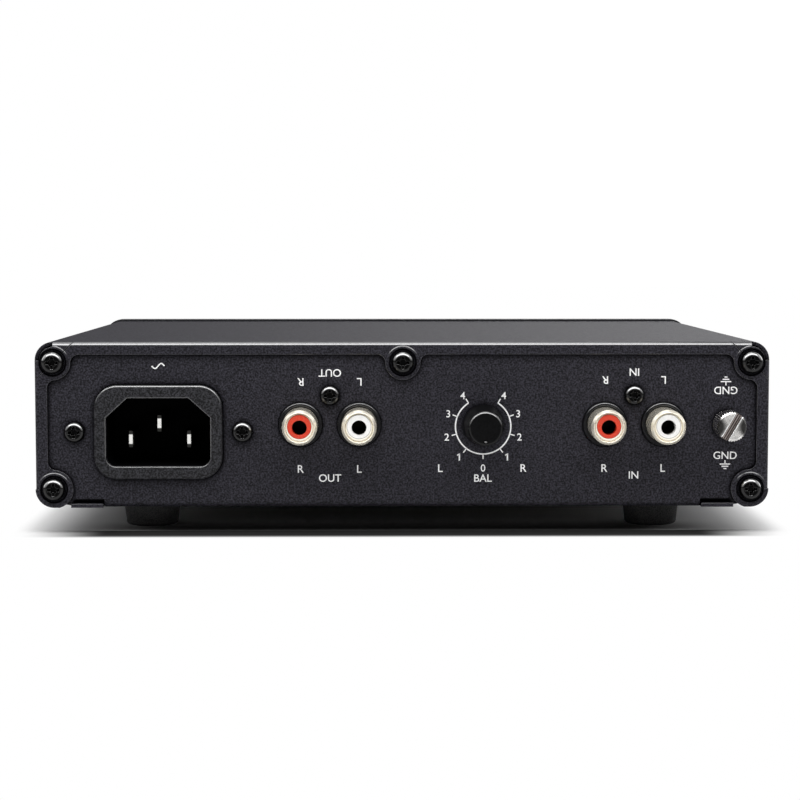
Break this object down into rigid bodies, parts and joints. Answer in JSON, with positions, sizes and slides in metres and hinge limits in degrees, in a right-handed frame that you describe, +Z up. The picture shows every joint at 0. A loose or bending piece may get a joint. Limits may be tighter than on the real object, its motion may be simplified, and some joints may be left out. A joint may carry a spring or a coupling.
{
  "type": "phono preamp",
  "caption": "Small mains-powered phono preamplifier in a folded black steel case, with phono jacks, a balance knob, a mains inlet and a ground screw on its rear.",
  "frame": {"origin": "middle of the whole object's footprint, on the plane that the rubber feet stand on", "axes": "+X across the case, to the right as the connector side is seen, +Y from the connector side to the front fascia, +Z up"},
  "size_m": [0.1764, 0.1508, 0.0466],
  "materials": {
    "powder_coat": "fine textured black powder coat",
    "fascia_finish": "satin black",
    "bright_steel": "zinc plated",
    "black_screw": "glossy black oxide",
    "foot_rubber": "matte",
    "knob_plastic": "smooth satin plastic",
    "rod_plastic": "matte natural nylon",
    "switch_plastic": "matte",
    "clear_plastic": "clear light pipe",
    "led_white": "gloss",
    "black_moulding": "satin moulded plastic",
    "contact_tin": "bright nickel plate",
    "shell_gold": "bright gold plate",
    "red_insulator": "satin red plastic",
    "white_insulator": "satin white plastic",
    "pot_metal": "pressed steel",
    "ground_nickel": "bright nickel plate",
    "board_laminate": "green solder mask",
    "brown_wire": "PVC insulation",
    "header_plastic": "matte natural nylon",
    "earth_wire": "PVC insulation",
    "fuse_glass": "glass with tinned caps",
    "capacitor_film": "moulded case",
    "choke_winding": "lacquered copper winding",
    "chip_epoxy": "moulded epoxy",
    "capacitor_sleeve": "shrink sleeve",
    "transformer_tape": "yellow tape over ferrite",
    "heatsink_metal": "extruded",
    "relay_case": "matte",
    "film_red": "moulded case",
    "resistor_body": "lacquered"
  },
  "bodies": {
    "case": {"cover": "powder_coat", "chassis": "powder_coat", "front_fascia": "fascia_finish", "fascia_screws": "bright_steel", "cover_screws": "black_screw", "rubber_feet": "foot_rubber", "foot_screws": "black_screw", "power_switch": "switch_plastic", "light_pipe": "clear_plastic", "status_led": "led_white", "led_holder": "black_moulding", "inlet_body": "black_moulding", "inlet_live_pins": "contact_tin", "inlet_earth_pin": "contact_tin", "inlet_screws": "black_screw", "inlet_nuts": "bright_steel", "output_jack_block": "black_moulding", "input_jack_block": "black_moulding", "jack_screws": "black_screw", "output_right_shell": "shell_gold", "output_left_shell": "shell_gold", "input_right_shell": "shell_gold", "input_left_shell": "shell_gold", "output_right_insulator": "red_insulator", "output_left_insulator": "white_insulator", "input_right_insulator": "red_insulator", "input_left_insulator": "white_insulator", "jack_contacts": "shell_gold", "balance_pot": "pot_metal", "ground_insert": "bright_steel", "main_board": "board_laminate", "standoffs": "bright_steel", "board_screws": "bright_steel", "mains_leads": "brown_wire", "mains_header": "header_plastic", "earth_lead": "earth_wire", "earth_stud": "bright_steel", "earth_nut": "bright_steel", "fuse": "fuse_glass", "fuse_clips": "contact_tin", "suppression_capacitor": "capacitor_film", "line_choke": "choke_winding", "bridge_rectifier": "chip_epoxy", "bulk_capacitor": "capacitor_sleeve", "switching_transformer": "transformer_tape", "smoothing_capacitors": "capacitor_sleeve", "heatsinks": "heatsink_metal", "regulators": "chip_epoxy", "muting_relay": "relay_case", "amplifier_chips": "chip_epoxy", "film_capacitors": "film_red", "coupling_capacitors": "capacitor_sleeve", "resistors": "resistor_body"},
    "balance": {"balance_knob": "knob_plastic", "balance_shaft": "contact_tin"},
    "power_push": {"power_button": "knob_plastic", "button_rod": "rod_plastic"},
    "ground_clamp": {"ground_washer": "ground_nickel"},
    "ground_thumbscrew": {"ground_screw": "ground_nickel"}
  },
  "joints": [
    {"name": "balance_turn", "type": "hinge", "parent": "case", "child": "balance", "pos_m": [0.0192, -0.0647, 0.0262], "axis": [0, -1, 0], "range_deg": [-148, 148]},
    {"name": "power_travel", "type": "slide", "parent": "case", "child": "power_push", "axis": [0, -1, 0], "range_m": [0, 0.0022], "stiffness_N_per_m": 300, "springref_m": -0.002},
    {"name": "ground_travel", "type": "slide", "parent": "case", "child": "ground_clamp", "axis": [0, -1, 0], "range_m": [0, 0.0028]},
    {"name": "ground_turn", "type": "hinge", "parent": "ground_clamp", "child": "ground_thumbscrew", "pos_m": [0.0775, -0.0647, 0.0262], "axis": [0, -1, 0], "range_deg": [0, 1440]}
  ],
  "couplings": [
    {"joint": "ground_turn", "follows": "ground_travel", "rad_per_m": 8975.9}
  ]
}
